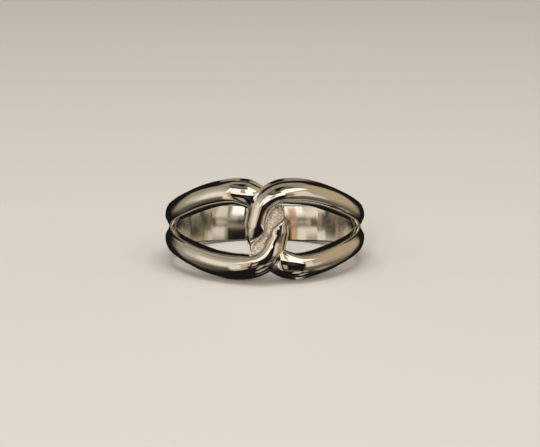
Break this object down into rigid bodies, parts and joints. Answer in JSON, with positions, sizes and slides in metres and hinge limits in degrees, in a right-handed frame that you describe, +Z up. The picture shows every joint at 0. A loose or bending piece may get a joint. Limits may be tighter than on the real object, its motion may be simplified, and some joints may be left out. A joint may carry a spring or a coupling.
{
  "type": "knot ring",
  "caption": "Finger ring whose band parts at the sides into rails that cross at the front as interlocked rounded loops.",
  "frame": {"origin": "the middle of the finger hole, on its axis", "axes": "+Z up as the ring lies on its side, -Y towards the knot at the front; the finger hole's axis leans back from +Z towards +Y"},
  "size_m": [0.0206, 0.0229, 0.0102],
  "materials": {
    "polished_silver": "mirror-polished silver, with a rough as-cast floor between the loops"
  },
  "bodies": {
    "root": {"knot_ring": "polished_silver"}
  },
  "joints": []
}
